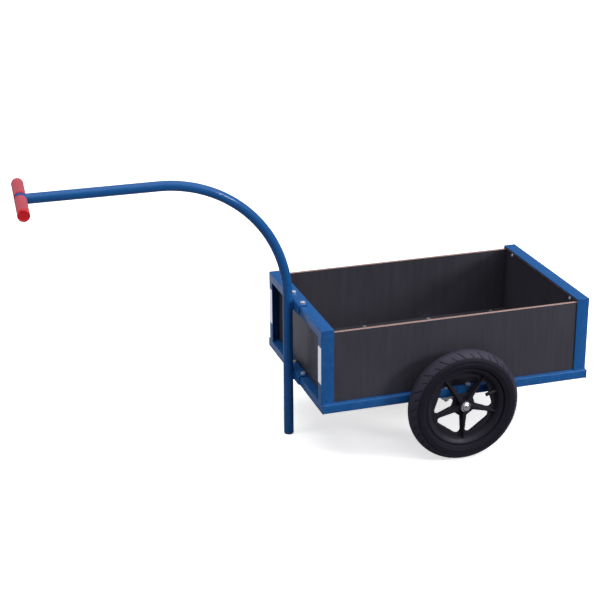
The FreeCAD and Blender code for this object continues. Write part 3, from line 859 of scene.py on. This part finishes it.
def drawbar_loops(radius):
    """Rings of the drawbar, which stay square to its line, and a last one cut to fit the crossbar."""
    loops = []
    path = drawbar_path(steps=56)
    turns = even_turns(round_points)
    for i, here in enumerate(path):
        ahead = heading(path, i)
        outward = Vector((ahead.z, 0, -ahead.x))
        loops.append([here + radius * (cos(t) * outward + sin(t) * Vector((0, 1, 0)))
                      for t in turns])
    loops.append([cope_point(radius, t) for t in turns])
    return loops


def drawbar_tube():
    outer = drawbar_loops(tube_radius)
    inner = drawbar_loops(tube_radius - tube_wall)
    return Shape().add(skin(outer + inner[::-1], wrap=True))


def drawbar_welds():
    """Beads where the drawbar joins its brackets and the crossbar."""
    shape = Shape()
    plate_x = front - bracket_plate
    seam_y, seam_out, margin = 9.3, 2.2, 3.0
    for z in (top, ledge):
        low, high = z - bracket_drop, z + bracket_plate
        for y in (-seam_y, seam_y):
            beside = [(plate_x - seam_out, y, low + margin), (plate_x - seam_out, y, high - margin)]
            shape.add(weld_bead(beside, 2.7))
        shape.add(weld_bead([(plate_x - 1.0, y, low - 0.2) for y in (-8.0, -3.0, 3.0, 8.0)], 1.6))
    shape.add(weld_bead([cope_point(tube_radius, t) for t in np.linspace(0, 2 * pi, 73)], 1.7))
    return shape


def crossbar_line():
    """Middle of the crossbar, and its direction to the right."""
    return Vector((crossbar_x, 0, level_z)), Vector((sin(handle_yaw), cos(handle_yaw), 0))


def crossbar():
    middle, direction = crossbar_line()
    end = crossbar_half
    inner = tube_radius - tube_wall
    ease = 0.4
    profile = [(inner, -end), (tube_radius - ease, -end), (tube_radius, -end + ease), (tube_radius, -20.0),
               (tube_radius, 20.0), (tube_radius, end - ease), (tube_radius - ease, end), (inner, end)]
    return Shape().add(spin(profile, middle, direction, 64, closed=True))


def grip(sign):
    """Moulded sleeve with a collar, fine lengthways ribs and a smooth, slightly dished end."""
    ribs, per_rib, rib_depth = 44, 6, 0.55
    count = ribs * per_rib
    origin, direction = crossbar_line()
    direction = direction * sign
    collar, fade = 5.0, 1.2
    end_band = handle_half - 9.0
    end_round = 2.6
    bore = tube_radius + 0.02
    sleeve = grip_radius - 0.35
    dish_radius = grip_radius - 4.0
    profile = [
        (bore, grip_start, 0), (grip_radius - 0.8, grip_start, 0), (grip_radius, grip_start + 0.8, 0),
        (grip_radius, grip_start + collar - 0.4, 0), (sleeve, grip_start + collar, 0),
        (sleeve, grip_start + collar + fade, 1), (sleeve, end_band - fade, 1), (sleeve, end_band, 0),
        (grip_radius, end_band + 0.5, 0), (grip_radius, handle_half - end_round, 0),
    ]
    profile += [(grip_radius - end_round * (1 - cos(t)), handle_half - end_round * (1 - sin(t)), 0)
                for t in np.linspace(0.3, pi / 2, 6)]
    profile += [(dish_radius, handle_half, 0), (dish_radius - 0.7, handle_half - 0.6, 0),
                (dish_radius * 0.5, handle_half - 0.8, 0), (1.2, handle_half - 0.8, 0)]
    grooves = [rib_depth * (0.5 - 0.5 * cos(2 * pi * (i % per_rib) / per_rib))
               for i in range(count)]
    loops = [ring(origin, direction, [radius - groove * ribbed for groove in grooves], along, count)
             for radius, along, ribbed in profile]
    points, faces = skin(loops, caps=False)
    faces.append([(len(loops) - 1) * count + i for i in range(count)])
    ribbed_rows = range(3, 8)
    finishes = [0 if row in ribbed_rows else 1 for row in range(len(loops) - 1) for _ in range(count)] + [1]
    shape = Shape().add((points, faces), finishes)
    inside = [ring(origin, direction, bore, along, count) for along in (grip_start, crossbar_half)]
    points, faces = skin(inside, caps=False)
    faces.append([count + i for i in range(count)])
    return shape.add((points, faces), 1)


def foot_plug():
    """Plastic plug: a thick rounded disc under the leg, and a finned insert inside it."""
    disc = tube_radius
    insert = tube_radius - tube_wall - 0.1
    fin = 0.8
    profile = [(0.5, 0.0), (disc - 3.0, 0.0), (disc - 1.2, 0.5), (disc - 0.3, 1.5), (disc, 2.6), (disc, 3.7),
               (disc - 0.3, 4.0), (insert, 4.0)]
    for start in (6.0, 11.0, 16.0):
        profile += [(insert - fin, start), (insert, start + 1.2), (insert, start + 2.0),
                    (insert - fin, start + 2.6)]
    profile += [(insert - 1.1, 22.0), (0.5, 22.0)]
    return Shape().add(spin(profile, (tube_x, 0, 0), (0, 0, 1), 64))


def drawbar_bracket(z):
    """Bent plate that hangs over a rail; the lower corners of its upright leg are rounded off."""
    x0 = front - bracket_plate
    split = z - 3.0
    bent = rounded([
        (x0, split, 0.01), (front, split, 0.01), (front, z, 0.4), (x0 + bracket_leg, z, 0.6),
        (x0 + bracket_leg, z + bracket_plate, 0.8), (x0, z + bracket_plate, 4.5),
    ], 6)
    low = z - bracket_drop
    plate = rounded([(-bracket_half, low, 7.0), (bracket_half, low, 7.0), (bracket_half, split, 0.01),
                     (-bracket_half, split, 0.01)], 6)
    shape = Shape().add(bar(bent, "y", -bracket_half, bracket_half, (0.5, 0.5)))
    return shape.add(bar(plate, "x", x0, front, (0.5, 0.0)))


def add_drawbar():
    pieces = [
        ("drawbar_tube", drawbar_tube(), [paint], "blue_paint"),
        ("handle_crossbar", crossbar(), [paint], "blue_paint"),
        ("drawbar_bracket_top", drawbar_bracket(top), [paint], "blue_paint"),
        ("drawbar_bracket_bottom", drawbar_bracket(ledge), [paint], "blue_paint"),
        ("handle_grip_left", grip(-1), [grip_ribs, grip_end], "grip_plastic"),
        ("handle_grip_right", grip(1), [grip_ribs, grip_end], "grip_plastic"),
        ("drawbar_foot_plug", foot_plug(), [plug_black], "black_plastic"),
    ]
    for name, shape, finishes, slot in pieces:
        add_shape("shaped_", name, shape, finishes, slot)
    add_piece("drawbar_welds", to_mesh("drawbar_welds", drawbar_welds(), [paint], 60))


# ---- wheels ----
def wheel_point(hand, radius, out, turn):
    """Point of a wheel from its radius, its distance out from the middle plane and its turn."""
    return Vector((axle_x + radius * cos(turn), hand * (wheel_y + out),
                   axle_z + radius * sin(turn)))


def wheel_spin(hand, profile, count):
    """Closed half section of (radius, out) points, turned about the axle."""
    return skin([[wheel_point(hand, r, out, t) for t in even_turns(count)] for r, out in profile], wrap=True)


def groove_columns(grooves):
    """Turns of the tread's columns, how deep each lies in its groove, and whether the groove is short."""
    pitch = 2 * pi / grooves
    lip, floor_half = 1.45 / tread_radius, 0.85 / tread_radius
    offsets = [(-lip, 0.0), (-floor_half, 1.0), (floor_half, 1.0), (lip, 0.0)]
    plain = 7
    gap = pitch - 2 * lip
    offsets += [(lip + gap * (k + 1) / (plain + 1), 0.0) for k in range(plain)]
    columns = []
    for i in range(grooves):
        columns += [(pitch * i + turn, depth, i % 2) for turn, depth in offsets]
    return columns


def tyre_rows():
    """(section angle, height over the section's circle) from the crown down one side."""
    rows = [(float(degrees), 0.0) for degrees in range(0, 60, 4)]
    rows += [(58.5, 0.0), (tread_edge, 0.0), (62.0, -0.1), (63.0, -0.7), (68.0, -0.7), (74.0, -0.6),
             (75.0, -0.1), (76.5, -0.1), (77.5, -0.6), (84.0, -0.6), (90.0, -0.6), (96.0, -0.5), (97.0, 0.0),
             (99.5, 0.0), (100.5, -0.5), (106.0, -0.6), (112.0, -0.6), (116.0, -0.2), (118.0, 0.1),
             (122.0, 0.1)]
    return rows


def groove_share(degrees, short):
    """How much of a groove's depth there is at a section angle: long ones start nearer the crown."""
    start = 34.0 if short else 14.0
    run_in, run_out = 3.0, 1.5
    opening = min(max((degrees - start) / run_in, 0.0), 1.0)
    return opening * min(max((tread_edge - degrees) / run_out, 0.0), 1.0)


def tyre(hand):
    """Air tyre with slanted tread grooves, a tread edge, sidewall rings and beads in the rim."""
    columns = groove_columns(36)
    rows = tyre_rows()
    groove_depth = 2.0
    slant = radians(7.5)
    loops, values = [], []

    def outer_loop(degrees, height, outwards):
        angle = radians(degrees)
        shift = slant * (min(degrees, tread_edge) / tread_edge) ** 1.5
        loop = []
        for turn, depth, short in columns:
            cut = depth * groove_share(degrees, short)
            size = section_outer + height - groove_depth * cut
            radius = section_centre + size * cos(angle)
            loop.append(wheel_point(hand, radius, outwards * size * sin(angle), turn - shift))
            values.append(cut)
        return loop

    def plain_loop(radius, out):
        values.extend([0.0] * len(columns))
        return [wheel_point(hand, radius, out, turn - slant) for turn, _, _ in columns]

    for row in reversed(rows[1:]):
        loops.append(outer_loop(*row, -1))
    for row in rows:
        loops.append(outer_loop(*row, 1))
    bead = [(flange_radius + 0.5, 17.1), (flange_radius - 0.1, 16.9), (seat_radius + 0.1, 15.4),
            (seat_radius + 0.1, 10.6)]
    loops += [plain_loop(r, out) for r, out in bead]
    section_inner = 23.0
    lowest = acos((flange_radius - section_centre) / section_inner)
    for angle in np.linspace(lowest, -lowest, 13):
        radius = section_centre + section_inner * cos(angle)
        loops.append(plain_loop(radius, section_inner * sin(angle)))
    loops += [plain_loop(r, -out) for r, out in reversed(bead)]
    return Shape().add(skin(loops, wrap=True), 0, values)


def solid(name, part, finish):
    """Scratch object of one closed part, for joining."""
    shape = Shape().add(part)
    return put_in_scene(name, to_mesh(name, shape, [finish]))


def combined(base, others):
    """Mesh of the base joined with the others. The scratch objects are removed."""
    for other in others:
        step = base.modifiers.new("step", "BOOLEAN")
        step.operation = "UNION"
        step.solver = "EXACT"
        step.object = other
    bpy.context.view_layer.update()
    mesh = bpy.data.meshes.new_from_object(base.evaluated_get(bpy.context.evaluated_depsgraph_get()))
    for made in [base] + others:
        bpy.data.objects.remove(made)
    return mesh


def turned(u, v, turn):
    return u * cos(turn) - v * sin(turn), u * sin(turn) + v * cos(turn)


def web_part(hand):
    """Flat web with five windows that have rounded corners and eased edges."""
    curve = bpy.data.curves.new("web", "CURVE")
    curve.dimensions = "2D"
    curve.fill_mode = "BOTH"
    half = 4.0
    ease = 0.9
    curve.extrude = (half - ease) * MM
    curve.bevel_depth = ease * MM
    curve.bevel_resolution = 2
    curve.offset = -ease * MM

    def outline(points):
        spline = curve.splines.new("POLY")
        spline.points.add(len(points) - 1)
        for made, point in zip(spline.points, points):
            made.co = (point[0] * MM, point[1] * MM, 0, 1)
        spline.use_cyclic_u = True

    outside, bore = (93.0, 120), (14.2, 48)
    for radius, count in (outside, bore):
        outline([(radius * cos(t), radius * sin(t)) for t in even_turns(count)])
    near, near_half, far, far_half = 31.0, 11.5, 77.0, 50.0
    window = rounded([(near, -near_half, 6.0), (far, -far_half, 10.0), (far, far_half, 10.0),
                      (near, near_half, 6.0)], 6)
    for turn in even_turns(spoke_count):
        outline([turned(*point, window_centre + turn) for point in window])
    holder = put_in_scene("web", curve)
    bpy.context.view_layer.update()
    mesh = bpy.data.meshes.new_from_object(holder.evaluated_get(bpy.context.evaluated_depsgraph_get()))
    bpy.data.objects.remove(holder)
    work = bmesh.new()
    work.from_mesh(mesh)
    bmesh.ops.remove_doubles(work, verts=work.verts, dist=2e-6)
    points = [Vector((axle_x + v.co.x / MM, hand * (wheel_y + v.co.z / MM), axle_z + v.co.y / MM))
              for v in work.verts]
    faces = [[v.index for v in face.verts] for face in work.faces]
    work.free()
    return points, faces


def rib_part(hand, turn):
    """Raised rib on a spoke: wide and high at the hub, thin at the barrel, flared where it meets the web."""
    stations = [(15.0, 6.2, 15.2), (30.0, 5.2, 14.8), (50.0, 3.9, 14.0), (70.0, 2.7, 13.0), (88.0, 1.7, 12.2),
                (97.5, 1.3, 11.8)]
    loops = []
    for radius, half, out in stations:
        section = [(half + 2.2, 3.0), (half + 1.6, 4.1), (half + 0.5, 5.0), (half, 6.5),
                   (half - 0.5, out - 1.0), (half - 1.1, out - 0.2), (0.0, out)]
        section += [(-across, height) for across, height in reversed(section[:-1])]
        loop = []
        for across, height in section:
            u, v = turned(radius, across, turn)
            loop.append(Vector((axle_x + u, hand * (wheel_y + height), axle_z + v)))
        loops.append(loop)
    return skin(loops)


def rim(hand):
    """Barrel, hub, web and spoke ribs, joined into one mesh."""
    half = [
        (92.0, 5.0, 1.0), (97.0, 14.0, 3.0), (105.2, rim_half, 1.2), (108.8, rim_half, 0.8),
        (flange_radius, rim_half - 1.0, 0.5), (flange_radius, 17.0, 0.3), (seat_radius, 15.5, 0.8),
        (seat_radius, 11.0, 1.0), (97.0, 8.0, 1.5),
    ]
    inner = [(radius, -out, ease) for radius, out, ease in half]
    barrel = rounded(inner[:1] + half + inner[:0:-1], 3)
    bore = 14.05
    hub = rounded([
        (bore, -hub_inner, 0.3), (hub_radius - 1, -hub_inner, 0.8), (hub_radius, -hub_inner + 4, 0.5),
        (hub_radius, hub_outer - 1.5, 1.2), (hub_radius - 1.5, hub_outer, 0.5), (bore, hub_outer, 0.3),
    ], 3)
    base = solid("rim_barrel", wheel_spin(hand, barrel, 160), rim_black)
    parts = [solid("rim_web", web_part(hand), rim_black),
             solid("rim_hub", wheel_spin(hand, hub, 72), rim_black)]
    for i in range(spoke_count):
        turn = window_centre + 2 * pi * (i + 0.5) / spoke_count
        parts.append(solid(f"rim_rib_{i}", rib_part(hand, turn), rim_black))
    mesh = combined(base, parts)
    mesh.shade_smooth()
    mesh.set_sharp_from_angle(angle=radians(34))
    return mesh


def valve_parts(hand):
    """Rubber stem from the bead seat to the window, and the knurled cap on its end."""
    direction = Vector((cos(window_centre), 0, sin(window_centre)))
    origin = Vector((axle_x, hand * (wheel_y + valve_out), axle_z))
    stem = spin([(3.2, 67.5), (3.2, 77.0), (3.7, 77.0), (4.0, 79.0), (4.0, 88.0), (4.6, 92.0), (5.2, 95.5),
                 (5.2, 96.8), (4.0, 97.0), (4.0, 107.0)], origin, direction, 32)
    count = 60
    knurl = [0.35 if i % 4 in (1, 2) else 0.0 for i in range(count)]
    profile = [(2.0, 65.0, 0), (3.6, 65.2, 0), (4.3, 66.2, 1), (4.8, 67.2, 1), (4.8, 76.2, 1), (4.5, 77.0, 0),
               (3.3, 77.0, 0), (3.3, 67.6, 0)]
    loops = [ring(origin, direction, [radius - cut * knurled for cut in knurl], along, count)
             for radius, along, knurled in profile]
    return Shape().add(stem), Shape().add(skin(loops))


def hub_cap(hand):
    """Domed push-on cap with a rolled edge."""
    start = -cap_high.y - wheel_y
    height = cap_high.y - cap_low.y
    radius = (cap_high.z - cap_low.z) / 2
    shell = 0.8
    bore = 8.05
    dome = [(radius * 0.84 * cos(t), start + 1.6 + (height - 1.6) * sin(t))
            for t in np.linspace(0.12, pi / 2 - 0.03, 14)]
    profile = [(bore, start), (radius - 0.6, start), (radius, start + 0.5), (radius, start + 1.1),
               (radius - 0.5, start + 1.5)] + dome
    profile += [(r - shell, out - shell) for r, out in reversed(dome)][:-1] + [(bore, start + shell)]
    return Shape().add(wheel_spin(hand, [(max(r, 0.05), out) for r, out in profile], 64))


def add_wheels():
    for hand, name in ((-1, "left"), (1, "right")):
        body = "wheel_" + name
        add_shape("tread_", "tyre_" + name, tyre(hand), [rubber], "tyre_rubber", body, 40.0)
        add_piece("moulded_rim_" + name, rim(hand), body, ["rim_" + name])
        stem, cap = valve_parts(hand)
        add_shape("rubber_", "valve_stem_" + name, stem, [tube_black], "tube_rubber", body)
        add_shape("knurled_", "valve_cap_" + name, cap, [plug_black], "black_plastic", body)
        add_shape("domed_", "hub_cap_" + name, hub_cap(hand), [chrome], "chrome_cap", sharp=50.0)


def finish_cad_nodes():
    """Nodes whose CAD shape is right: each keeps it, and takes its procedural material."""
    finishes = {"axle": zinc, "axle_spacers": zinc, "hub_washers": zinc, "end_board_lugs": paint}
    for hand in ("_left", "_right"):
        finishes |= {"axle_saddle" + hand: zinc, "hub_sleeve" + hand: bearing,
                     "bearing_rollers" + hand: bearing, "bearing_cage" + hand: nylon_white,
                     "inner_tube" + hand: tube_black}
    for name, finish in finishes.items():
        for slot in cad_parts[name].material_slots:
            slot.material = finish


# ---- studio ----
def add_floor():
    """Floor that looks white; what it sends back onto the cart is weak in front and strong behind it."""
    material, tree, shader = new_material("studio_floor")
    seen = node(tree, "ShaderNodeLightPath").outputs["Is Camera Ray"]
    white = mix_colour(tree, noise(tree, 3.0, 2.0), (0.93, 0.93, 0.93), (0.95, 0.95, 0.95))
    depth = node(tree, "ShaderNodeSeparateXYZ", {"Vector": object_point(tree)}).outputs["Y"]
    bounce = mix_colour(tree, remap(tree, depth, -0.6, 1.2), (0.17, 0.17, 0.18), (0.62, 0.63, 0.67))
    link(tree, mix_colour(tree, seen, bounce, white), shader, "Base Color")
    set_inputs(shader, {"Emission Color": (1.0, 1.0, 1.0, 1.0), "Roughness": 0.9,
                        "Specular IOR Level": 0.1})
    link(tree, calculate(tree, "MULTIPLY", seen, 0.62), shader, "Emission Strength")
    half = 40.0
    low = -0.0004
    mesh = bpy.data.meshes.new("floor")
    mesh.from_pydata([(-half, -half, low), (half, -half, low), (half, half, low), (-half, half, low)],
                     [], [(0, 1, 2, 3)])
    mesh.materials.append(material)
    floor = put_in_scene("floor", mesh)


def add_light(name, place, aim, size, power, mirrored):
    """Square lamp. One that isn't mirrored shows in no reflection, so flat steel has no glare of it."""
    data = bpy.data.lights.new(name, "AREA")
    data.shape = "RECTANGLE"
    data.size, data.size_y = size
    data.energy = power
    light = put_in_scene(name, data)
    light.location = place
    light.rotation_euler = (Vector(aim) - Vector(place)).to_track_quat("-Z", "Y").to_euler()
    light.visible_glossy = mirrored
    return light


def add_overhead(power):
    """Light from the whole ceiling, even over the floor, with very soft shadows."""
    data = bpy.data.lights.new("overhead", "SUN")
    data.energy = power
    data.angle = radians(84.0)
    light = put_in_scene("overhead", data)
    light.rotation_euler = (radians(6.0), radians(12.0), 0.0)


def add_studio():
    add_floor()
    add_overhead(2.6)
    add_light("key_right", (3.4, -2.6, 1.5), (0.2, 0.0, 0.3), (0.8, 0.8), 96.0, False)
    add_light("fill_left", (-3.5, -0.3, 2.4), (0.0, 0.0, 0.4), (2.2, 2.2), 32.0, True)
    # The card shows only in reflections, where it gives the streak on the drawbar's bend.
    card = add_light("card_right", (2.9, -2.6, 2.8), (-0.25, 0.0, 0.7), (0.8, 0.8), 110.0, True)
    card.visible_diffuse = False
    world = bpy.data.worlds.new("studio")
    bpy.context.scene.world = world
    world.use_nodes = True
    tree = world.node_tree
    background = tree.nodes["Background"]
    seen = node(tree, "ShaderNodeLightPath").outputs["Is Camera Ray"]
    tree.links.new(mix_colour(tree, seen, (0.15, 0.15, 0.18), (1.0, 1.0, 1.0)), background.inputs["Color"])
    bpy.context.scene.view_settings.view_transform = "Standard"


def add_camera():
    azimuth, elevation, roll = radians(-17.236), radians(20.972), radians(-0.391)
    aim = Vector((45.4, 130.8, 338.4)) * MM
    distance = 4.2884
    back = Vector((sin(azimuth) * cos(elevation), -cos(azimuth) * cos(elevation),
                   sin(elevation)))
    right = (-back).cross(Vector((0, 0, 1))).normalized()
    up = back.cross(right)
    rolled_right = right * cos(roll) + up * sin(roll)
    rolled_up = up * cos(roll) - right * sin(roll)
    data = bpy.data.cameras.new("camera")
    data.lens = 92.14
    data.sensor_width = 36.0
    camera = put_in_scene("camera", data)
    turn = Matrix((rolled_right, rolled_up, back)).transposed().to_4x4()
    camera.matrix_world = Matrix.Translation(aim + back * distance) @ turn
    bpy.context.scene.camera = camera


add_camera()
add_frame()
add_boards()
add_fasteners()
add_drawbar()
add_wheels()
finish_cad_nodes()
add_studio()

bpy.context.view_layer.update()
